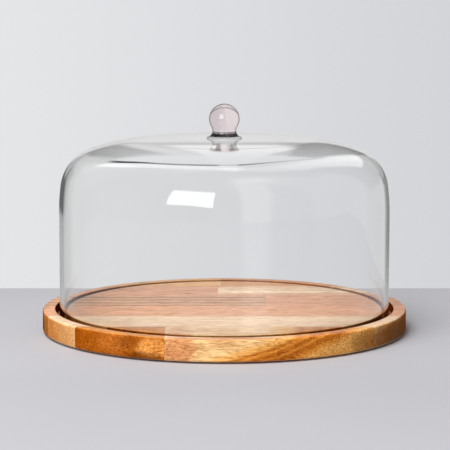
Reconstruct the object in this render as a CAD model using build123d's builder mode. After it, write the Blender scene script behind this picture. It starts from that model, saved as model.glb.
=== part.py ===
"""Glass cheese dome on a round, grooved acacia board.

Millimetres, +Z up. The origin is under the middle of the board, on the surface it stands on.
The board's staves run along X, and its front is towards -Y.
"""

from build123d import *
import os
from math import radians, sin, sqrt

os.makedirs("parts", exist_ok=True)

# Feet: clear bumper pads stuck under the board
pad_radius = 6.0
pad_height = 1.5
pad_edge_radius = 0.6
pad_circle_radius = 110.0

# Board: a turned disc with a flat-bottomed groove for the dome's rim
board_radius = 152.5
board_thickness = 18.0
board_edge_radius = 2.0
groove_inner_radius = 132.5
groove_outer_radius = 142.0
groove_depth = 8.0
groove_lip_radius = 0.8
groove_corner_radius = 1.5

# Staves: the rows' glue lines from front to back, and where a row is butt-jointed along X
row_seams = (-94.5, -46.0, 3.0, 60.0, 105.0)
row_butts = {1: -47.0, 4: 35.0, 5: -6.0, 6: -3.0}

# Dome: one blown wall of even thickness, with a small flat land under the knob
dome_radius = 138.3
wall = 3.5
dome_height = 150.0
land_radius = 16.0
crown_arc = (1200.0, 2.6)
haunch_arc = (150.0, 19.5)
upper_wall_arc = (177.5, 90.0)
shoulder_end = 82.2

# Knob: a solid ball drawn down through a neck to a small flared foot
ball_radius = 12.7
neck_radius = 9.85
neck_curve_radius = 5.5
knob_foot_radius = 14.6
knob_foot_edge_radius = 0.7
ball_height = 16.3

board_bottom = pad_height
board_top = board_bottom + board_thickness
groove_floor = board_top - groove_depth
dome_top = groove_floor + dome_height


def finish(part, name):
    """Label a piece and write it as its own STEP file."""
    part.label = name
    export_step(part, f"parts/{name}.step")


def make_stave(name, x_range, y_range):
    """One stave: the stretch of the turned board between its glue lines."""
    with BuildPart() as stave:
        with BuildSketch(Plane.XZ) as section:
            with Locations((0, board_bottom)):
                Rectangle(board_radius, board_thickness, align=Align.MIN)
            with Locations((groove_inner_radius, groove_floor)):
                Rectangle(
                    groove_outer_radius - groove_inner_radius,
                    groove_depth,
                    align=Align.MIN,
                    mode=Mode.SUBTRACT,
                )
            fillet(section.vertices().group_by(Axis.X)[-1], board_edge_radius)
            groove_corners = section.vertices().filter_by_position(
                Axis.X, groove_inner_radius, groove_outer_radius
            )
            fillet(groove_corners.group_by(Axis.Y)[0], groove_corner_radius)
            fillet(groove_corners.group_by(Axis.Y)[-1], groove_lip_radius)
        revolve(axis=Axis.Z)
        middle = (sum(x_range) / 2, sum(y_range) / 2, board_bottom + board_thickness / 2)
        with Locations(middle):
            Box(
                x_range[1] - x_range[0],
                y_range[1] - y_range[0],
                2 * board_thickness,
                mode=Mode.INTERSECT,
            )
    finish(stave.part, name)


outside = board_radius + 1
seams = (-outside, *row_seams, outside)
for row in range(1, len(seams)):
    y_range = (seams[row - 1], seams[row])
    if row in row_butts:
        make_stave(f"stave_row{row}_left", (-outside, row_butts[row]), y_range)
        make_stave(f"stave_row{row}_right", (row_butts[row], outside), y_range)
    else:
        make_stave(f"stave_row{row}", (-outside, outside), y_range)


# Bumper pads, one near each quarter of the board
for name, angle in (
    ("pad_back_right", 45),
    ("pad_back_left", 135),
    ("pad_front_left", 225),
    ("pad_front_right", 315),
):
    with BuildPart() as pad:
        with BuildSketch():
            with PolarLocations(pad_circle_radius, 1, start_angle=angle):
                Circle(pad_radius)
        extrude(amount=pad_height)
        fillet(pad.edges().group_by(Axis.Z)[0], pad_edge_radius)
    finish(pad.part, name)


# Shoulder radius that brings the four arcs out exactly to the wall
sin_crown = sin(radians(crown_arc[1]))
sin_haunch = sin(radians(haunch_arc[1]))
sin_shoulder = sin(radians(shoulder_end))
shoulder_radius = (
    dome_radius
    - land_radius
    - crown_arc[0] * sin_crown
    - haunch_arc[0] * (sin_haunch - sin_crown)
    - upper_wall_arc[0] * (1 - sin_shoulder)
) / (sin_shoulder - sin_haunch)


def draw_dome_side(inset):
    """Draw the dome's side from its axis out and down to its straight wall, moved in by inset."""
    land = Line((0, dome_top - inset), (land_radius, dome_top - inset))
    crown = JernArc(land @ 1, land % 1, crown_arc[0] - inset, -crown_arc[1])
    haunch = JernArc(crown @ 1, crown % 1, haunch_arc[0] - inset, crown_arc[1] - haunch_arc[1])
    shoulder = JernArc(
        haunch @ 1, haunch % 1, shoulder_radius - inset, haunch_arc[1] - shoulder_end
    )
    return JernArc(
        shoulder @ 1, shoulder % 1, upper_wall_arc[0] - inset, shoulder_end - upper_wall_arc[1]
    )


with BuildPart() as glass_dome:
    with BuildSketch(Plane.XZ):
        with BuildLine():
            outer_side = draw_dome_side(0)
            inner_side = draw_dome_side(wall)
            rim_height = groove_floor + wall / 2
            outer_wall = Line(outer_side @ 1, (dome_radius, rim_height))
            inner_wall = Line(inner_side @ 1, (dome_radius - wall, rim_height))
            ThreePointArc(
                outer_wall @ 1, (dome_radius - wall / 2, groove_floor), inner_wall @ 1
            )
            Line((0, dome_top - wall), (0, dome_top))
        make_face()
    revolve(axis=Axis.Z)
finish(glass_dome.part, "glass_dome")


# The neck's hollow curve touches the ball, so their centres stand both radii apart
ball_centre = dome_top + ball_height
neck_centre_radius = neck_radius + neck_curve_radius
centre_distance = ball_radius + neck_curve_radius
neck_centre = ball_centre - sqrt(centre_distance**2 - neck_centre_radius**2)
touch_share = ball_radius / centre_distance
touch = (
    neck_centre_radius * touch_share,
    ball_centre + (neck_centre - ball_centre) * touch_share,
)
knob_foot_top = neck_centre - sqrt(
    neck_curve_radius**2 - (neck_centre_radius - knob_foot_radius) ** 2
)

with BuildPart() as glass_knob:
    with BuildSketch(Plane.XZ) as knob_section:
        with BuildLine():
            ThreePointArc((0, ball_centre + ball_radius), (ball_radius, ball_centre), touch)
            ThreePointArc(touch, (neck_radius, neck_centre), (knob_foot_radius, knob_foot_top))
            Polyline(
                (knob_foot_radius, knob_foot_top),
                (knob_foot_radius, dome_top),
                (0, dome_top),
                (0, ball_centre + ball_radius),
            )
        make_face()
        foot_edge = knob_section.vertices().group_by(Axis.X)[-1].sort_by(Axis.Y)[-1]
        fillet(foot_edge, knob_foot_edge_radius)
    revolve(axis=Axis.Z)
finish(glass_knob.part, "glass_knob")
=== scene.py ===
"""Looks of the glass cheese dome: acacia staves, blown glass, bumper pads, studio and camera."""

import math

import bmesh
import bpy
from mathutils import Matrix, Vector


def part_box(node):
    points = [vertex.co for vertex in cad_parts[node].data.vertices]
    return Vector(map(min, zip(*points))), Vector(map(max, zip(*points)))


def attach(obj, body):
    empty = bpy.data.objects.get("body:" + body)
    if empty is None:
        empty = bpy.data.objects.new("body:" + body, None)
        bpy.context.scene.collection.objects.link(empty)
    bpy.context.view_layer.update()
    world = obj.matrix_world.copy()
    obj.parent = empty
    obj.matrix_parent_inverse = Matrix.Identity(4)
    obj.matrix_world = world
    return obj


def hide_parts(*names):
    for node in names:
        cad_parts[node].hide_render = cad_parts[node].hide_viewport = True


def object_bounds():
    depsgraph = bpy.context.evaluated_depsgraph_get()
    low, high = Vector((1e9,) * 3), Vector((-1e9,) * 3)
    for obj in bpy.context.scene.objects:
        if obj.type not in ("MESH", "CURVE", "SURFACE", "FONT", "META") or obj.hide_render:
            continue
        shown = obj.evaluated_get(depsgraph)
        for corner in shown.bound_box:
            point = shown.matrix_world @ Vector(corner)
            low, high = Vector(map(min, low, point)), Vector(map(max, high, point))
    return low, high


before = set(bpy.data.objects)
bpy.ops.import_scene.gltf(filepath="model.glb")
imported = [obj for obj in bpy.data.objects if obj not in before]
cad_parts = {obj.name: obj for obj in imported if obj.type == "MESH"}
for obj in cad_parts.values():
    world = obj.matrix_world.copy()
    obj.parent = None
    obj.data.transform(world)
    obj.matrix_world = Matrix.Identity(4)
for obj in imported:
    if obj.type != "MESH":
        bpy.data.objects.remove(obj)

MM = 0.001
# Places closer than this are the same place
SAME_PLACE = 0.01 * MM
# Points closer than this are the same point, and one this close to the axis is on it
TINY = 1e-7
# Neighbouring faces that turn by less than this are the same face
SAME_FACE = math.radians(0.02)

cad_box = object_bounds()

# Faces that turn by more degrees than this meet in an edge that is shaded sharp
BOARD_SHARP = 35
DOME_SHARP = 180
KNOB_SHARP = 50
STUDIO_SHARP = 30

# ---------------------------------------------------------------- sizes, from the frame
dome_low, dome_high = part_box("glass_dome")
knob_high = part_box("glass_knob")[1]
board_low, board_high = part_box("stave_row3")

board_radius = board_high.x
board_bottom, board_top = board_low.z, board_high.z
dome_radius = dome_high.x
groove_floor, dome_top = dome_low.z, dome_high.z
knob_foot_radius = knob_high.x
knob_top = knob_high.z
whole_height = cad_box[1].z

GROOVE_INNER = 132.5 * MM
GROOVE_OUTER = 142.0 * MM
BOARD_EDGE_RADIUS = 2.0 * MM
GROOVE_LIP_RADIUS = 0.8 * MM
GROOVE_CORNER_RADIUS = 1.5 * MM
BOARD_SEGMENTS = 360
GROOVE_ARC_STEPS = 6
BOARD_EDGE_STEPS = 8

# The dome's side as arcs: radius, and how far round from upright each one ends, in degrees
WALL = 3.5 * MM
LAND_RADIUS = 16.0 * MM
CROWN_ARC = (1200.0 * MM, 2.6)
HAUNCH_ARC = (150.0 * MM, 19.5)
UPPER_WALL_ARC = (177.5 * MM, 90.0)
SHOULDER_END = 82.2
DOME_SEGMENTS = 256
SIDE_ARC_STEPS = 16
STRAIGHT_WALL_STEPS = 24
RIM_STEPS = 10

BALL_RADIUS = 12.7 * MM
NECK_RADIUS = 9.85 * MM
NECK_CURVE_RADIUS = 5.5 * MM
KNOB_FOOT_EDGE = 0.7 * MM
KNOB_SUNK = 0.3 * MM
KNOB_SEGMENTS = 128
BALL_STEPS = 40
NECK_STEPS = 24
KNOB_FOOT_STEPS = 6


# ---------------------------------------------------------------- node helpers
class Graph:
    """Short ways to add and join nodes in one node tree."""

    def __init__(self, tree):
        self.tree = tree
        tree.nodes.clear()

    def add(self, kind, **settings):
        node = self.tree.nodes.new(kind)
        for name, value in settings.items():
            setattr(node, name, value)
        return node

    def feed(self, socket, value):
        """Link a node's output to the socket, or set the socket's own value."""
        if isinstance(value, bpy.types.NodeSocket):
            self.tree.links.new(value, socket)
        elif value is not None:
            socket.default_value = value

    def math(self, operation, a, b=None, c=None):
        node = self.add("ShaderNodeMath", operation=operation)
        for socket, value in zip(node.inputs, (a, b, c)):
            self.feed(socket, value)
        return node.outputs[0]

    def vector_math(self, operation, a, b):
        node = self.add("ShaderNodeVectorMath", operation=operation)
        for socket, value in zip(node.inputs, (a, b)):
            self.feed(socket, value)
        return node.outputs[0]

    def minus(self, a, b):
        return self.math("SUBTRACT", a, b)

    def times(self, first, *others):
        for other in others:
            first = self.math("MULTIPLY", first, other)
        return first

    def scaled(self, value, factor, base):
        """The base, plus the value times the factor."""
        return self.math("MULTIPLY_ADD", value, factor, base)

    def swing(self, noise, amount, base):
        """The base, moved up and down by a noise whose middle is 0.5."""
        return self.scaled(self.minus(noise, 0.5), amount, base)

    def across(self, x, y):
        """Distance from the object's axis."""
        return self.math("SQRT", self.math("ADD", self.times(x, x), self.times(y, y)))

    def join(self, x, y, z):
        node = self.add("ShaderNodeCombineXYZ")
        for socket, value in zip(node.inputs, (x, y, z)):
            self.feed(socket, value)
        return node.outputs[0]

    def grey(self, value):
        return self.join(value, value, value)

    def split(self, vector):
        node = self.add("ShaderNodeSeparateXYZ")
        self.feed(node.inputs[0], vector)
        return node.outputs

    def noise(self, vector, detail=2.0, roughness=0.5):
        node = self.add("ShaderNodeTexNoise")
        self.feed(node.inputs["Vector"], vector)
        node.inputs["Scale"].default_value = 1.0
        node.inputs["Detail"].default_value = detail
        node.inputs["Roughness"].default_value = roughness
        return node.outputs["Fac"]

    def step(self, value, low, high, to_low=0.0, to_high=1.0):
        """A smooth step from to_low to to_high as value goes from low to high."""
        node = self.add("ShaderNodeMapRange", interpolation_type="SMOOTHSTEP")
        for socket, given in zip(node.inputs, (value, low, high, to_low, to_high)):
            self.feed(socket, given)
        return node.outputs[0]

    def within(self, value, low, high, soft):
        """1 between low and high and 0 outside, with soft edges."""
        return self.minus(self.step(value, low - soft, low), self.step(value, high, high + soft))

    def mix(self, share, a, b, blend="MIX"):
        node = self.add("ShaderNodeMix", data_type="RGBA", blend_type=blend)
        self.feed(node.inputs["Factor"], share)
        self.feed(node.inputs[6], a)
        self.feed(node.inputs[7], b)
        return node.outputs[2]

    def dye(self, colour, by):
        """The colour, multiplied by another."""
        return self.mix(1.0, colour, by, "MULTIPLY")

    def mix_shaders(self, share, a, b):
        node = self.add("ShaderNodeMixShader")
        for socket, value in zip(node.inputs, (share, a.outputs[0], b.outputs[0])):
            self.feed(socket, value)
        return node

    def finish(self, shader, output="ShaderNodeOutputMaterial"):
        out = self.add(output)
        self.feed(out.inputs["Surface"], shader.outputs[0])


def new_material(name):
    """An empty material, and its nodes."""
    material = bpy.data.materials.new(name)
    material.use_nodes = True
    return material, Graph(material.node_tree)


def rgb(red, green, blue):
    """A display colour, 0 to 255, as a linear one."""
    def linear(value):
        value /= 255
        return value / 12.92 if value <= 0.04045 else ((value + 0.055) / 1.055) ** 2.4
    return (linear(red), linear(green), linear(blue), 1.0)


# ---------------------------------------------------------------- mesh helpers
def arc(centre, radius, start, end, steps):
    """Points on a circle from angle start to end, in degrees, as (across, up) pairs."""
    angles = [math.radians(start + (end - start) * i / steps) for i in range(steps + 1)]
    return [(centre[0] + radius * math.cos(a), centre[1] + radius * math.sin(a)) for a in angles]


def between(start, end, steps):
    """The points that divide a straight line into equal steps, without its ends."""
    shares = [i / steps for i in range(1, steps)]
    return [tuple(a + (b - a) * share for a, b in zip(start, end)) for share in shares]


def lathe(bm, outline, segments):
    """Turn a closed outline of (across, up) points about Z. Points at 0 across become poles."""
    rings = []
    for across, up in outline:
        if across < TINY:
            rings.append([bm.verts.new((0, 0, up))])
            continue
        ring = []
        for i in range(segments):
            angle = 2 * math.pi * i / segments
            ring.append(bm.verts.new((across * math.cos(angle), across * math.sin(angle), up)))
        rings.append(ring)
    for first, second in zip(rings, rings[1:] + rings[:1]):
        if len(first) == 1 and len(second) == 1:
            continue
        for i in range(segments):
            j = (i + 1) % segments
            corners = [first[i % len(first)], first[j % len(first)]]
            corners += [second[j % len(second)], second[i % len(second)]]
            bm.faces.new(list(dict.fromkeys(corners)))
    bmesh.ops.recalc_face_normals(bm, faces=bm.faces)


def finish_mesh(bm, name, sharp_degrees, material):
    """Make a smooth-shaded object of the mesh, with sharp edges where faces turn by more."""
    mesh = bpy.data.meshes.new(name)
    bm.to_mesh(mesh)
    bm.free()
    mesh.shade_smooth()
    mesh.set_sharp_from_angle(angle=math.radians(sharp_degrees))
    mesh.materials.append(material)
    piece = bpy.data.objects.new(name, mesh)
    bpy.context.scene.collection.objects.link(piece)
    return piece


# ---------------------------------------------------------------- acacia: how each stave looks
CREAM = rgb(252, 218, 178)
PALE = rgb(241, 197, 138)
HONEY = rgb(242, 178, 98)
AMBER = rgb(226, 146, 60)
ORANGE = rgb(208, 124, 44)
RUSSET = rgb(196, 112, 36)
BROWN = rgb(178, 96, 22)
DARK = rgb(112, 54, 10)
TAN = rgb(228, 166, 116)
PINK = rgb(226, 160, 116)
SAND = rgb(214, 172, 120)
# The next four paint shade on the ends that turn from the light: over olive-brown wood, plain, over the left
# ends' darker wood, and with a painted grey sheen on the right ends
OLIVE_WOOD_AND_SHADE = rgb(197, 144, 80)
SHADE = rgb(158, 112, 66)
DARK_END_AND_SHADE = rgb(118, 100, 76)
END_SHADE_AND_SHEEN = rgb(176, 154, 146)
LINE_BROWN = rgb(110, 60, 34)


def grain_lines(wood, line, radii, width):
    """Rings that draw thin lines of one colour across another."""
    rings = []
    for radius in radii:
        rings += [(radius - width / 2, width / 3, line), (radius + width / 2, width / 3, wood)]
    return rings


# Every length is in millimetres:
# pith and ring_stretch: the rings' middle, and how much each axis counts in the distance to it
# wood and rings: the colour at the pith, then (ring radius, softness, colour) outwards
# wander: how far the rings stray; band, contrast and dark: broad dark bands between the rings
# lines, streaks, mottle, fibres and pores: how strong the fine grain is
# sway and sway_size: how far the grain swings sideways, and the length and width of a swing
# spots: (colour, strength, centre, half size), some of them painted shade; top: how the top's colour differs
# from the side's, a painted sheen
wood_defaults = {
    "pith": (0.0, -200.0, -40.0),
    "ring_stretch": (0.03, 1.0, 1.0),
    "wood": TAN,
    "rings": (),
    "wander": 8.0,
    "band": 9.0,
    "contrast": 0.35,
    "dark": ORANGE,
    "lines": 0.35,
    "streaks": 0.35,
    "mottle": 0.35,
    "fibres": 1.1,
    "pores": 0.4,
    "sway": 4.0,
    "sway_size": (60.0, 18.0),
    "spots": (),
    "top": (1.0, 1.0, 1.0, 1.0),
}
wood_looks = {
    "stave_row1_left": {
        "wood": BROWN,
        "dark": DARK,
        "mottle": 0.8,
        "fibres": 1.4,
        "pores": 0.36,
        "sway": 7.0,
        "sway_size": (22.0, 12.0),
        "top": (1.56, 2.14, 2.65, 1.0),
        "spots": (
            (rgb(188, 106, 38), 0.9, (-88.0, -130.0, 12.0), (16.0, 60.0, 10.0)),
            (rgb(242, 164, 84), 1.0, (-56.0, -140.0, 10.5), (15.0, 60.0, 8.0)),
            (DARK, 0.4, (-74.0, -130.0, 14.0), (9.0, 60.0, 6.0)),
            (DARK, 0.7, (-62.0, -140.0, 2.5), (16.0, 60.0, 5.5)),
        ),
    },
    "stave_row1_right": {
        "pith": (-280.0, 0.0, 963.0),
        "ring_stretch": (1.0, 0.0, 1.0),
        "wood": PALE,
        "rings": (
            (996.5, 3.0, HONEY),
            (1001.5, 1.5, ORANGE),
            (1003.6, 0.7, AMBER),
            (1006.0, 1.0, RUSSET),
            (1009.5, 0.8, AMBER),
            (1011.0, 0.8, RUSSET),
            (1015.5, 1.5, AMBER),
            (1019.0, 2.0, HONEY),
        ),
        "wander": 3.4,
        "contrast": 0.2,
        "dark": BROWN,
        "mottle": 0.5,
        "fibres": 1.45,
        "pores": 0.24,
        "sway_size": (26.0, 10.0),
        "top": (1.04, 1.07, 1.22, 1.0),
        "spots": (
            (rgb(216, 148, 96), 0.9, (-36.0, -130.0, 10.0), (15.0, 60.0, 14.0)),
            # Painted shade over olive-brown wood towards the right end
            (OLIVE_WOOD_AND_SHADE, 0.9, (112.0, -100.0, 6.0), (13.5, 60.0, 12.0)),
            # Painted shade: a darker strip along the rounded front edge of the rim
            (ORANGE, 0.8, (12.0, -147.5, 20.0), (64.0, 6.0, 1.2)),
        ),
    },
    "stave_row2": {
        "wood": rgb(248, 211, 158),
        "contrast": 0.25,
        "dark": AMBER,
        "streaks": 0.25,
        "fibres": 0.8,
        "pores": 0.3,
        "top": (1.0, 1.02, 1.25, 1.0),
        "spots": (
            # Painted shade on the right end, then painted shade with a painted grey sheen there, then painted
            # shade over darker wood on the left end
            (SHADE, 0.8, (132.0, -75.0, 6.0), (30.0, 60.0, 12.5)),
            (END_SHADE_AND_SHEEN, 0.8, (146.0, -48.0, 8.0), (16.0, 32.0, 13.0)),
            (DARK_END_AND_SHADE, 0.5, (-154.0, -44.0, 8.0), (9.0, 22.0, 13.0)),
        ),
    },
    "stave_row3": {
        "contrast": 0.7,
        "dark": PINK,
        "top": (1.05, 1.0, 1.0, 1.0),
        "spots": (
            # Painted shade over darker wood on the left end
            (DARK_END_AND_SHADE, 0.9, (-154.0, -12.0, 8.0), (11.0, 32.0, 13.0)),
            (SAND, 0.9, (-150.0, -46.0, 8.0), (10.0, 16.0, 14.0)),
            # Painted shade with a painted grey sheen on the right end
            (END_SHADE_AND_SHEEN, 0.8, (154.0, -40.0, 8.0), (12.0, 36.0, 13.0)),
        ),
    },
    "stave_row4_left": {
        "rings": grain_lines(TAN, LINE_BROWN, radii=(212.0, 226.0, 239.5, 253.0), width=3.0),
        "wander": 4.0,
        "dark": rgb(150, 95, 62),
        "lines": 0.4,
        "streaks": 0.4,
        "sway": 3.0,
        # A spot of painted shade over darker wood on the left end
        "spots": ((DARK_END_AND_SHADE, 0.9, (-154.0, 20.0, 8.0), (11.0, 60.0, 13.0)),),
    },
    "stave_row4_right": {"wood": PINK, "contrast": 0.2, "dark": BROWN, "streaks": 0.2},
    "stave_row5_left": {
        "wood": PINK,
        "contrast": 0.3,
        "dark": BROWN,
        "spots": ((DARK, 0.8, (-32.0, 66.0, 19.5), (4.0, 2.5, 6.0)),),
    },
    "stave_row5_right": {"wood": CREAM, "band": 12.0, "contrast": 0.6},
    "stave_row6_left": {"wood": HONEY, "contrast": 0.5},
    "stave_row6_right": {"wood": AMBER, "contrast": 0.3, "dark": BROWN},
}

# Shares of the noise's range where bands, grain lines and pores set in and are full
BAND_RANGE = (0.42, 0.68)
LINE_RANGE = (0.56, 0.68)
PORE_RANGE = (0.50, 0.61)
BAND_LENGTH = 600.0

# A spot fades between these squares of the distance from its centre, counted in its half sizes,
# and the mottle and the fibres make its edge stray
SPOT_EDGE = (0.3, 1.3)
SPOT_MOTTLE, SPOT_FIBRES = 1.2, 0.8

# A joint is dark up to the first distance from it and plain from the second
GLUE_LINE = (0.1, 0.6)
GLUE_LINE_SHADE = 0.75
# The groove's painted shade starts at the first distance outside its walls and is full at the second
GROOVE_SHADE_EDGE = (0.7, 0.1)
GROOVE_PAINTED_SHADE = 0.6
DARKEST_SHADE = 0.05
# Darker wood is redder wood, so green and blue fall faster than red does
GREEN_FALL, BLUE_FALL = 1.3, 1.7

# How squarely a face has to look up or down to count as the top, or along X to be end grain
TOP_RANGE = (0.5, 0.95)
END_RANGE = (0.6, 0.97)
END_GRAIN = (0.68, 0.40, 0.18, 1.0)


# ---------------------------------------------------------------- acacia: the material
def grain_noise(g, place, shift, long, wide, detail, roughness=0.6):
    """Noise drawn out along the grain: long by wide by wide millimetres."""
    scaled = g.vector_math("DIVIDE", place, (long, wide, wide))
    scaled = g.vector_math("ADD", scaled, (shift, shift * 0.7, -shift * 0.4))
    return g.noise(scaled, detail, roughness)


def swaying_place(g, at, look, shift):
    """Places in the wood, moved so that the grain runs in slow waves."""
    x, y, z = g.split(at)
    long, wide = look["sway_size"]
    sway_y = grain_noise(g, at, shift, long, wide, detail=1.0)
    sway_z = grain_noise(g, at, shift, long * 0.8, wide, detail=1.5)
    return g.join(x, g.swing(sway_y, look["sway"], y), g.swing(sway_z, look["sway"], z))


def distance_squared(g, place, centre, stretch):
    """The square of the distance to a centre, with each axis stretched by its own factor."""
    total = 0.0
    for value, middle, factor in zip(place, centre, stretch):
        offset = g.times(g.minus(value, middle), factor)
        total = g.scaled(offset, offset, total)
    return total


def ring_colour(g, place, look, fine, shift):
    """Growth rings about the pith, with bands and lines of darker wood."""
    radius = g.math("SQRT", distance_squared(g, place, look["pith"], look["ring_stretch"]))
    radius = g.swing(fine["mottle"], look["wander"], radius)
    radius = g.swing(fine["fibres"], look["wander"] * 0.25, radius)
    colour = look["wood"]
    for edge, soft, tint in look["rings"]:
        colour = g.mix(g.step(radius, edge - soft, edge + soft), colour, tint)
    around = g.math("DIVIDE", radius, look["band"])
    along = g.math("DIVIDE", place[0], BAND_LENGTH)
    bands = g.step(g.noise(g.join(around, along, shift), detail=2.5, roughness=0.6), *BAND_RANGE)
    colour = g.mix(g.times(bands, look["contrast"]), colour, look["dark"])
    lines = g.step(fine["strands"], *LINE_RANGE)
    return g.mix(g.times(lines, look["lines"]), colour, look["dark"])


def lay_spots(g, colour, place, look, fine):
    """Soft-edged spots of other colours, with edges that follow the grain. Some of them are painted shade."""
    for tint, strength, centre, half_size in look["spots"]:
        reach = distance_squared(g, place, centre, [1 / half for half in half_size])
        reach = g.swing(fine["mottle"], SPOT_MOTTLE, reach)
        reach = g.swing(fine["fibres"], SPOT_FIBRES, reach)
        colour = g.mix(g.step(reach, *SPOT_EDGE, strength, 0.0), colour, tint)
    return colour


def groove_shade_mask(g, place):
    """1 on the groove's walls and floor, where its painted shade goes, and 0 on the rest of the board."""
    x, y, z = place
    across = g.across(x, y)
    start, full = GROOVE_SHADE_EDGE
    past_inner_wall = g.step(across, GROOVE_INNER / MM - start, GROOVE_INNER / MM - full)
    past_outer_wall = g.step(across, GROOVE_OUTER / MM + full, GROOVE_OUTER / MM + start)
    below_top = g.step(z, board_top / MM - start, board_top / MM - full, 1, 0)
    return g.times(g.minus(past_inner_wall, past_outer_wall), below_top)


def wood_shade(g, place, look, fine):
    """How light the wood is: its fine grain, the glue lines and painted shade down in the groove."""
    shade = g.swing(fine["strands"], look["streaks"], 1.0)
    shade = g.swing(fine["fibres"], look["fibres"], shade)
    shade = g.swing(fine["mottle"], look["mottle"], shade)
    shade = g.scaled(fine["pores"], -look["pores"], shade)
    for axis, seam in look["seams"]:
        to_seam = g.math("ABSOLUTE", g.minus(place[axis], seam))
        shade = g.times(shade, g.step(to_seam, *GLUE_LINE, GLUE_LINE_SHADE, 1.0))
    # Painted shade in the groove
    shade = g.times(shade, g.scaled(groove_shade_mask(g, place), -GROOVE_PAINTED_SHADE, 1.0))
    return g.math("MAXIMUM", shade, DARKEST_SHADE)


def wood_surface(g, colour, on_top, fine):
    """Oiled wood: glossy on top, nearly matt on the side, with fibres and pores to the touch."""
    surface = g.add("ShaderNodeBsdfPrincipled")
    g.feed(surface.inputs["Base Color"], colour)
    rough = g.scaled(fine["fibres"], 0.16, 0.24)
    g.feed(surface.inputs["Roughness"], g.scaled(fine["pores"], 0.2, rough))
    surface.inputs["IOR"].default_value = 1.5
    g.feed(surface.inputs["Specular IOR Level"], g.times(on_top, 0.8))
    bump = g.add("ShaderNodeBump")
    bump.inputs["Strength"].default_value = 0.3
    bump.inputs["Distance"].default_value = 0.12 * MM
    g.feed(bump.inputs["Height"], g.scaled(fine["pores"], -0.8, g.times(fine["fibres"], 0.4)))
    g.feed(surface.inputs["Normal"], bump.outputs[0])
    return surface


def acacia(name, look):
    """One stave's wood, all in 3-D, so that its top, side and ends show the same grain."""
    material, g = new_material(name)
    where = g.add("ShaderNodeTexCoord").outputs
    at = g.vector_math("MULTIPLY", where["Object"], (1 / MM, 1 / MM, 1 / MM))
    place = g.split(at)
    shift = look["seed"] * 37.0

    grain = swaying_place(g, at, look, shift)
    pore_noise = grain_noise(g, grain, shift, long=12.0, wide=0.9, detail=2.0, roughness=0.7)
    fine = {
        "mottle": grain_noise(g, grain, shift, long=36.0, wide=14.0, detail=3.0),
        "strands": grain_noise(g, grain, shift, long=120.0, wide=3.6, detail=3.0, roughness=0.7),
        "fibres": grain_noise(g, grain, shift, long=34.0, wide=1.2, detail=2.0, roughness=0.7),
        "pores": g.step(pore_noise, *PORE_RANGE),
    }

    colour = ring_colour(g, place, look, fine, shift)
    colour = lay_spots(g, colour, place, look, fine)
    shade = wood_shade(g, place, look, fine)
    falling = g.join(shade, g.math("POWER", shade, GREEN_FALL), g.math("POWER", shade, BLUE_FALL))
    colour = g.dye(colour, falling)

    # Painted sheen changes the top's colour from the side's, and end grain drinks the oil and darkens
    end_x, _, top_z = g.split(where["Normal"])
    on_top = g.step(g.math("ABSOLUTE", top_z), *TOP_RANGE)
    colour = g.mix(on_top, colour, g.dye(colour, look["top"]))
    on_end = g.step(g.math("ABSOLUTE", end_x), *END_RANGE)
    colour = g.mix(on_end, colour, g.dye(colour, END_GRAIN))
    g.finish(wood_surface(g, colour, on_top, fine))
    return material


# ---------------------------------------------------------------- staves
def board_outline():
    """Half of the board's section, from the middle of its top round to the middle of its underside."""
    lip, corner, edge = GROOVE_LIP_RADIUS, GROOVE_CORNER_RADIUS, BOARD_EDGE_RADIUS
    steps, edge_steps = GROOVE_ARC_STEPS, BOARD_EDGE_STEPS
    points = [(0, board_top)]
    points += arc((GROOVE_INNER - lip, board_top - lip), lip, 90, 0, steps)
    points += arc((GROOVE_INNER + corner, groove_floor + corner), corner, 180, 270, steps)
    points += arc((GROOVE_OUTER - corner, groove_floor + corner), corner, 270, 360, steps)
    points += arc((GROOVE_OUTER + lip, board_top - lip), lip, 180, 90, steps)
    points += arc((board_radius - edge, board_top - edge), edge, 90, 0, edge_steps)
    points += arc((board_radius - edge, board_bottom + edge), edge, 0, -90, edge_steps)
    points += [(0, board_bottom)]
    return points


def cut(bm, axis, place, side):
    """Cut away what lies beyond a place on an axis, on one side, and close the cut with a flat face."""
    outward = Vector((0, 0, 0))
    outward[axis] = side
    cut_here = bmesh.ops.bisect_plane(
        bm,
        geom=bm.verts[:] + bm.edges[:] + bm.faces[:],
        dist=TINY,
        plane_co=outward * side * place,
        plane_no=outward,
        clear_outer=True,
    )["geom_cut"]
    rim = [item for item in cut_here if isinstance(item, bmesh.types.BMEdge)]
    bmesh.ops.contextual_create(bm, geom=rim)


def stave_joints(name):
    """A stave's joints as (axis, place, side): the sides where it meets another stave."""
    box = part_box(name)
    others = [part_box(other) for other in wood_looks if other != name]
    joints = []
    for axis in (0, 1):
        for end, side in ((0, -1), (1, 1)):
            place = box[end][axis]
            if any(abs(place - other[1 - end][axis]) < SAME_PLACE for other in others):
                joints.append((axis, place, side))
    return joints


def stave(name, number):
    """The turned board cut along this stave's joints, as the frame places them."""
    bm = bmesh.new()
    lathe(bm, board_outline(), BOARD_SEGMENTS)
    joints = stave_joints(name)
    for axis, place, side in joints:
        cut(bm, axis, place, side)
    bmesh.ops.dissolve_limit(bm, angle_limit=SAME_FACE, verts=bm.verts, edges=bm.edges)
    seams = [(axis, place / MM) for axis, place, side in joints]
    look = {**wood_defaults, **wood_looks[name], "seams": seams, "seed": number}
    visual_name = name.replace("stave", "acacia")
    piece = finish_mesh(bm, visual_name, BOARD_SHARP, acacia(visual_name, look))
    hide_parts(name)
    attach(piece, "board")


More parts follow.
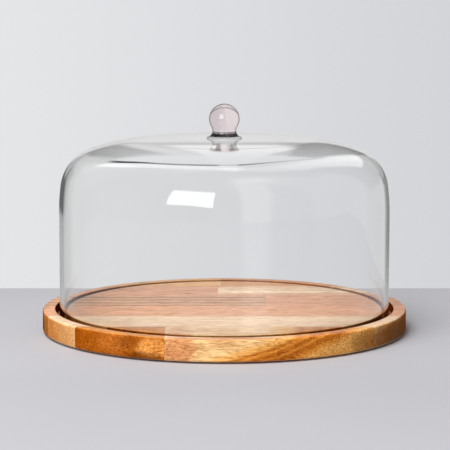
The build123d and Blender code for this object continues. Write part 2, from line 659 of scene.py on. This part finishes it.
# ---------------------------------------------------------------- glass: shapes
def dome_side(inset):
    """The dome's side from its axis down to its straight wall, moved in by inset."""
    turns = (CROWN_ARC[1], HAUNCH_ARC[1], SHOULDER_END)
    sin_crown, sin_haunch, sin_shoulder = [math.sin(math.radians(turn)) for turn in turns]
    # The shoulder's radius brings the four arcs out exactly to the wall
    reach = dome_radius - LAND_RADIUS - CROWN_ARC[0] * sin_crown
    reach -= HAUNCH_ARC[0] * (sin_haunch - sin_crown) + UPPER_WALL_ARC[0] * (1 - sin_shoulder)
    shoulder_arc = (reach / (sin_shoulder - sin_haunch), SHOULDER_END)
    points = [(0, dome_top - inset), (LAND_RADIUS / 2, dome_top - inset)]
    turned, here = 0.0, (LAND_RADIUS, dome_top)
    for radius, end in (CROWN_ARC, HAUNCH_ARC, shoulder_arc, UPPER_WALL_ARC):
        start_turn, end_turn = math.radians(turned), math.radians(end)
        centre = (here[0] - radius * math.sin(start_turn), here[1] - radius * math.cos(start_turn))
        arc_points = arc(centre, radius - inset, 90 - turned, 90 - end, SIDE_ARC_STEPS)
        points += [point for point in arc_points if math.dist(point, points[-1]) > SAME_PLACE]
        turned = end
        here = (centre[0] + radius * math.sin(end_turn), centre[1] + radius * math.cos(end_turn))
    return points


def dome_outline():
    """The glass wall's section: down its outside, round its rim and back up its inside."""
    outside, inside = dome_side(0), dome_side(WALL)
    rim_middle = (dome_radius - WALL / 2, groove_floor + WALL / 2)
    rim = arc(rim_middle, WALL / 2, 0, -180, RIM_STEPS)
    down = between(outside[-1], rim[0], STRAIGHT_WALL_STEPS)
    back_up = between(rim[-1], inside[-1], STRAIGHT_WALL_STEPS)
    return outside + down + rim + back_up + inside[::-1]


def knob_outline():
    """The knob's section: a ball drawn down through a hollow-curved neck to a flared foot."""
    ball = knob_top - BALL_RADIUS
    neck_across = NECK_RADIUS + NECK_CURVE_RADIUS
    apart = BALL_RADIUS + NECK_CURVE_RADIUS
    neck_up = ball - math.sqrt(apart**2 - neck_across**2)
    touch = math.degrees(math.asin((neck_up - ball) / apart))
    neck_end = knob_foot_radius - KNOB_FOOT_EDGE * 0.7
    foot_turn = math.degrees(math.asin((neck_across - neck_end) / NECK_CURVE_RADIUS))
    outline = arc((0, ball), BALL_RADIUS, 90, touch, BALL_STEPS)
    neck_turns = (180 + touch, 270 - foot_turn)
    outline += arc((neck_across, neck_up), NECK_CURVE_RADIUS, *neck_turns, NECK_STEPS)[1:]
    foot_edge_middle = (knob_foot_radius - KNOB_FOOT_EDGE, outline[-1][1] - KNOB_FOOT_EDGE)
    outline += arc(foot_edge_middle, KNOB_FOOT_EDGE, 90, 0, KNOB_FOOT_STEPS)[1:]
    underside = dome_top - KNOB_SUNK
    return outline + [(knob_foot_radius, underside), (0, underside)]


# ---------------------------------------------------------------- glass: materials
# The fold in the front of the dome's shoulder, a painted dark line: its edges by distance from the axis,
# where it ends towards the back, and the fainter stretch in front of the knob, by distance from its middle
FOLD_START, FOLD_END = 113.3 * MM, 115.3 * MM
FOLD_FRONT = (-80 * MM, -68 * MM)
FOLD_GAP_MIDDLE = 3 * MM
FOLD_GAP = (5 * MM, 11 * MM)
DOME_CLEAR = (0.9875, 0.988, 0.987, 1)
DOME_FOLD_PAINTED_DARK = (0.12, 0.12, 0.13, 1)

NECK_CLEAR = (0.98, 0.985, 0.98, 1)
ROSE = (0.985, 0.925, 0.925, 1)
ROSE_EDGE_PAINTED_DARK = (0.36, 0.33, 0.34, 1)
NECK_PAINTED_BLUSH = (0.24, 0.16, 0.16, 1)
NECK_FOLD_PAINTED_DARK = (0.02, 0.02, 0.02, 1)


def dome_tint(g, place, across, facing, first_met):
    """Clear glass with a fine fold where the crown meets the front of the shoulder, painted in as a dark
    line.
    """
    x, y, z = place
    left_end = g.step(x, -100 * MM, -60 * MM, 3.5 * MM, 0.0)
    right_end = g.step(x, 0.0, 60 * MM, 0.0, -5 * MM)
    straightened = g.minus(across, g.math("ADD", left_end, right_end))
    fold = g.within(straightened, FOLD_START, FOLD_END, 0.5 * MM)
    # Only the wall's outer face has the fold
    inner_up, outer_up = [
        next(up for out, up in dome_side(inset) if out >= FOLD_START + 4 * MM) for inset in (WALL, 0)
    ]
    outer_face = g.step(z, inner_up + 0.5 * MM, outer_up - 1.0 * MM)
    at_front = g.step(y, *FOLD_FRONT, 1.0, 0.0)
    fainter_right = g.step(x, 10 * MM, 60 * MM, 1.0, 0.25)
    from_gap = g.math("ABSOLUTE", g.minus(x, FOLD_GAP_MIDDLE))
    gap = g.step(from_gap, *FOLD_GAP, 0.3, 1.0)
    # Glass bends light away most where it is looked across, so the fold shows less from above
    looked_across = g.step(facing, 0.28, 0.5, 0.12, 1.0)
    darkest_left = g.step(x, -72 * MM, -50 * MM, 1.0, 0.65)
    fold = g.times(fold, outer_face, at_front, fainter_right, gap, looked_across, darkest_left)
    # The fold's dark is painted into the glass's colour, for the dark that the fold would bend into view
    return g.mix(fold, DOME_CLEAR, DOME_FOLD_PAINTED_DARK), 0.0


def knob_tint(g, place, across, facing, first_met):
    """Rose glass with painted dark at the ball's edge, clear in the neck, with a painted blush and a painted
    dark fold above its foot.
    """
    up = g.minus(place[2], dome_top)
    colour = g.mix(g.step(up, 4 * MM, 7 * MM), NECK_CLEAR, ROSE)
    # Painted dark outline where the ball is seen edge on
    edge = g.times(g.step(facing, 0.45, 0.85), first_met)
    colour = g.mix(edge, colour, ROSE_EDGE_PAINTED_DARK)
    at_front = g.step(place[1], -4 * MM, 0.0, 1.0, 0.0)
    # Painted blush and, below it, a painted dark fold, on the front only, for the dark the neck's hollow
    # bends into view
    blush = g.times(g.within(up, 4.2 * MM, 5.8 * MM, 0.5 * MM), at_front, 0.8)
    colour = g.mix(blush, colour, NECK_PAINTED_BLUSH)
    fold = g.times(g.within(up, 2.0 * MM, 4.2 * MM, 0.4 * MM), at_front)
    colour = g.mix(fold, colour, NECK_FOLD_PAINTED_DARK)
    foot_rim = g.step(across, 11.4 * MM, 12.6 * MM, 0, 0.88)
    thin = g.times(foot_rim, g.step(up, 1.6 * MM, 2.2 * MM, 1, 0))
    # From inside, the neck's hollow curve would mirror the ball back as a dark arc
    from_inside = g.times(g.minus(1.0, first_met), g.step(up, 4 * MM, 9 * MM, 0.9, 0.0))
    return colour, g.math("MAXIMUM", thin, from_inside)


def glass(name, ior, coat, tint_nodes):
    """Clear glass. tint_nodes gives its colour, and where it is too thin to be seen.

    Lamps light what stands behind it, less so where the light meets it edge on. Beyond two faces
    of glass, a further face passes light without mirroring it, unless it is seen edge on. The
    coat is the share of plain gloss on the face that is met first.
    """
    material, g = new_material(name)
    place = g.split(g.add("ShaderNodeTexCoord").outputs["Object"])
    across = g.across(place[0], place[1])
    facing = g.add("ShaderNodeLayerWeight").outputs["Facing"]
    path = g.add("ShaderNodeLightPath").outputs
    first_met = g.math("LESS_THAN", path["Ray Depth"], 0.5)
    tint, thin = tint_nodes(g, place, across, facing, first_met)

    clear = g.add("ShaderNodeBsdfGlass")
    bent = g.add("ShaderNodeBsdfRefraction")
    for shader in (clear, bent):
        g.feed(shader.inputs["Color"], tint)
        shader.inputs["Roughness"].default_value = 0.0
        shader.inputs["IOR"].default_value = ior
    far_wall = g.math("GREATER_THAN", path["Transmission Depth"], 1.5)
    body = g.mix_shaders(g.times(far_wall, g.step(facing, 0.45, 0.8, 1.0, 0.0)), clear, bent)

    gloss = g.add("ShaderNodeBsdfGlossy")
    gloss.inputs["Roughness"].default_value = 0.0
    coated = g.mix_shaders(g.times(coat, first_met), body, gloss)

    through = g.add("ShaderNodeBsdfTransparent")
    g.feed(through.inputs["Color"], g.grey(g.step(facing, 0.3, 1.0, 0.95, 0.6)))
    light = g.math("MAXIMUM", path["Is Shadow Ray"], path["Is Diffuse Ray"])
    g.finish(g.mix_shaders(g.math("MAXIMUM", light, thin), coated, through))
    return material


def glass_piece(name, outline, segments, sharp_degrees, material, node):
    """A turned piece of glass that stands in for a CAD node and rides with the dome."""
    bm = bmesh.new()
    lathe(bm, outline, segments)
    piece = finish_mesh(bm, name, sharp_degrees, material)
    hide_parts(node)
    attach(piece, "dome")


# ---------------------------------------------------------------- pads
def pad_material():
    """Clear bumper plastic, a little cloudy."""
    material, g = new_material("bumper")
    surface = g.add("ShaderNodeBsdfPrincipled")
    place = g.add("ShaderNodeTexCoord").outputs["Object"]
    cloud = g.noise(g.vector_math("MULTIPLY", place, (900, 900, 900)))
    g.feed(surface.inputs["Base Color"], g.mix(cloud, rgb(190, 192, 190), rgb(225, 226, 222)))
    g.feed(surface.inputs["Roughness"], g.scaled(cloud, 0.2, 0.3))
    g.finish(surface)
    return material


# ---------------------------------------------------------------- the object
for number, stave_name in enumerate(wood_looks):
    stave(stave_name, number)

dome_glass = glass("dome_glass", ior=1.5, coat=0.0, tint_nodes=dome_tint)
glass_piece("dome_shell", dome_outline(), DOME_SEGMENTS, DOME_SHARP, dome_glass, "glass_dome")

# At real glass's 1.5 the ball would show the board upside down, which the photo's doesn't
knob_glass = glass("knob_glass", ior=1.13, coat=0.06, tint_nodes=knob_tint)
glass_piece("ball_knob", knob_outline(), KNOB_SEGMENTS, KNOB_SHARP, knob_glass, "glass_knob")

bumper = pad_material()
for pad_name in [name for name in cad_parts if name.startswith("pad_")]:
    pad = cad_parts[pad_name]
    pad.data.materials.clear()
    pad.data.materials.append(bumper)


# ---------------------------------------------------------------- studio
TABLE_BACK = 0.211
TABLE_SIZE = (5.0, 3.2, 0.003)
TABLE_COLOURS = ((0.442, 0.436, 0.46, 1), (0.47, 0.465, 0.49, 1))
TABLE_FRONT = (-0.24, -0.12)
TABLE_FRONT_SHADE = 0.945


def table_material():
    """Pale paint, a little cloudy, with painted shade that darkens it a little towards the front."""
    material, g = new_material("studio_table")
    place = g.add("ShaderNodeTexCoord").outputs["Object"]
    cloud = g.noise(g.vector_math("MULTIPLY", place, (6, 6, 6)), detail=3.0)
    # Painted shade towards the front
    near = g.step(g.split(place)[1], *TABLE_FRONT, TABLE_FRONT_SHADE, 1.0)
    surface = g.add("ShaderNodeBsdfPrincipled")
    g.feed(surface.inputs["Base Color"], g.dye(g.mix(cloud, *TABLE_COLOURS), g.grey(near)))
    surface.inputs["Roughness"].default_value = 0.75
    surface.inputs["Specular IOR Level"].default_value = 0.2
    g.finish(surface)
    return material


def table():
    """A pale table top. Its straight back edge stands just behind the board, as in the photo."""
    bm = bmesh.new()
    bmesh.ops.create_cube(bm, size=1.0)
    for vertex in bm.verts:
        vertex.co = Vector(side * size for side, size in zip(vertex.co, TABLE_SIZE))
        vertex.co += Vector((0, TABLE_BACK - TABLE_SIZE[1] / 2, -TABLE_SIZE[2] / 2))
    bmesh.ops.bevel(bm, geom=bm.edges, offset=1.0 * MM, segments=3, affect="EDGES")
    piece = finish_mesh(bm, "studio_table", STUDIO_SHARP, table_material())
    # What would reflect the table reflects the world's patches instead
    piece.visible_glossy = False


def toward(azimuth, elevation):
    """A direction. Azimuth 0 is straight behind the object and 90 is to its right."""
    turn, rise = math.radians(azimuth), math.radians(elevation)
    return Vector((math.sin(turn) * math.cos(rise), math.cos(turn) * math.cos(rise), math.sin(rise)))


def light_card(name, corners, distance, radiance):
    """A glowing card whose corners lie in the given directions."""
    bm = bmesh.new()
    middle = Vector((0, 0, dome_top * 0.75))
    bm.faces.new([bm.verts.new(middle + toward(*corner) * distance) for corner in corners])
    material, g = new_material(name)
    glow = g.add("ShaderNodeEmission")
    glow.inputs["Strength"].default_value = radiance
    g.finish(glow)
    finish_mesh(bm, name, STUDIO_SHARP, material)


def soft_lamp(name, azimuth, elevation, distance, size, radiance):
    """A large lamp that only lights: it shows in no reflection."""
    data = bpy.data.lights.new(name, "AREA")
    data.size = size
    data.energy = radiance * math.pi * size**2
    lamp = bpy.data.objects.new(name, data)
    away = toward(azimuth, elevation)
    lamp.location = away * distance
    lamp.rotation_euler = away.to_track_quat("Z", "Y").to_euler()
    lamp.visible_glossy = False
    lamp.visible_transmission = False
    lamp.visible_camera = False
    bpy.context.scene.collection.objects.link(lamp)


# What the glass and the wood's gloss reflect: azimuths, elevations, softness, brightness, and how far
# the patch's left edge leans (degrees of azimuth per degree up) and its level edges tilt. Azimuth 0
# is straight behind the object.
reflected_patches = {
    "left_wall": ((-145, -70), (8, 60), 8.0, 0.30, 0, 0),
    "left_wall_low": ((-172, -60), (-60, 12), 6.0, 0.32, 0, 0),
    "right_wall": ((60, 118), (-60, 52), 7.0, 0.85, 0, 0),
    "right_wall_front": ((118, 150), (-60, 52), 5.0, 0.62, 0, 0),
    "right_wall_back": ((30, 62), (-60, 5), 4.0, 0.72, 0, 0),
    "right_ceiling": ((85, 176), (52, 84), 6.0, 0.95, 0, 0),
    "tall_window": ((148, 168), (-60, 62), 3.0, 1.35, -0.15, 0),
    "tall_window_foot": ((153, 164), (-60, -8.5), 3.0, 1.8, 0, 0),
    "ceiling_lamp": ((110, 166), (64, 76), 3.0, 1.70, 0, 0),
    "back_ceiling": ((-46, 41), (51, 69.5), 1.5, 1.10, 0, 0),
    "back_left_corner": ((-46, -26), (20, 66), 2.0, 0.65, 0, 0),
    "back_wall_high": ((-16, 11), (28, 50), 1.5, 0.85, 0, 0),
    "back_strip_light": ((-34, 9), (52, 66), 2.0, 2.20, 0, 0.66),
    "back_left_screen": ((-10.5, -5), (9, 25), 1.0, 0.26, 0, 0),
    "back_left_gap": ((-5, -2), (9, 28), 0.8, 0.72, 0, 0),
    "back_left_screen_edge": ((-12.5, -9), (13, 26), 1.0, 0.15, 0, 0),
    "back_middle": ((-2, 4), (9, 42), 0.6, 0.95, 0, 0),
    "back_right_screen": ((0.25, 11.5), (7.2, 29), 0.6, 0.22, 0.217, 0),
    "back_right_window": ((10.8, 34), (11, 45), 1.0, 1.24, 0, 0.4),
    "back_low": ((-12, 12), (-60, 7.5), 1.0, 0.80, 0, 0),
    "dark_behind_left": ((-36, -22), (-7, 12), 2.0, 0.22, 0, 0),
    "dark_behind_left_low": ((-30, -9.5), (-7.2, 0), 0.6, 0.15, 0, 0),
    "dark_behind_right": ((9.5, 26), (-9, 1), 1.0, 0.30, 0, 0),
    "dark_behind_right_high": ((25.5, 30), (-1, 8), 1.2, 0.30, 0, 0),
}
UNPATCHED_BRIGHTNESS = 0.5
WALL_LEFT, WALL_RIGHT = rgb(229, 230, 232), rgb(211, 212, 216)


def reflected_light(g, turn, rise):
    """The brightness of what is reflected: each patch is laid over the ones before it."""
    reflected = UNPATCHED_BRIGHTNESS
    for turns, rises, soft, brightness, lean, tilt in reflected_patches.values():
        along = g.scaled(rise, -lean, turn)
        up = g.scaled(turn, -tilt, rise)
        inside = g.times(
            g.step(along, turns[0] - soft, turns[0] + soft),
            g.step(turn, turns[1] - soft, turns[1] + soft, 1, 0),
            g.step(up, rises[0] - soft, rises[0] + soft),
            g.step(up, rises[1] - soft, rises[1] + soft, 1, 0),
        )
        reflected = g.scaled(g.minus(brightness, reflected), inside, reflected)
    return reflected


def studio_world():
    """A pale wall for what is seen, the studio's lit parts for what is reflected, soft light for the rest."""
    world = bpy.data.worlds.new("studio")
    world.use_nodes = True
    world.cycles.sampling_method = "NONE"
    g = Graph(world.node_tree)
    x, y, z = g.split(g.add("ShaderNodeTexCoord").outputs["Generated"])
    rise = g.times(g.math("ARCSINE", z), 180 / math.pi)
    turn = g.times(g.math("ARCTAN2", x, y), 180 / math.pi)
    overhead = g.step(rise, 20.0, 50.0, 0.12, 0.45)
    from_left = g.step(x, -0.6, 0.4, 1.2, 0.6)

    path = g.add("ShaderNodeLightPath").outputs
    bounced = g.math("GREATER_THAN", path["Glossy Depth"], 0.5)
    wall = g.mix(g.step(x, -0.13, 0.13), WALL_LEFT, WALL_RIGHT)
    seen = g.mix(bounced, wall, g.grey(reflected_light(g, turn, rise)))
    seen = g.mix(path["Is Diffuse Ray"], seen, g.grey(g.times(overhead, from_left)))
    back = g.add("ShaderNodeBackground")
    g.feed(back.inputs["Color"], seen)
    g.finish(back, output="ShaderNodeOutputWorld")
    bpy.context.scene.world = world


KEY_CORNERS = ((-139.5, 39.5), (-173.5, 37.5), (-172.6, 5.9), (-140.9, 6.9))
table()
light_card("studio_key", KEY_CORNERS, distance=3.0, radiance=4.7)
soft_lamp("fill", azimuth=-150, elevation=62, distance=2.2, size=1.1, radiance=12.3)
studio_world()
bpy.context.scene.view_settings.view_transform = "Standard"

# ---------------------------------------------------------------- camera
CAMERA_DISTANCE = 1.9276
CAMERA_PITCH = 0.137
CAMERA_LENS = 184.0
CAMERA_ASIDE = 0.56 * MM
CAMERA_AIM_SHARE = 0.465


def photo_camera():
    """A long lens a little above the board, looking at the photo's angle."""
    data = bpy.data.cameras.new("camera")
    data.lens = CAMERA_LENS
    data.sensor_width = 36.0
    data.clip_end = 40.0
    camera = bpy.data.objects.new("camera", data)
    aim = Vector((CAMERA_ASIDE, 0, whole_height * CAMERA_AIM_SHARE))
    back_off = Vector((0, -math.cos(CAMERA_PITCH), math.sin(CAMERA_PITCH)))
    camera.location = aim + back_off * CAMERA_DISTANCE
    camera.rotation_euler = (math.pi / 2 - CAMERA_PITCH, 0, 0)
    bpy.context.scene.collection.objects.link(camera)
    bpy.context.scene.camera = camera


photo_camera()
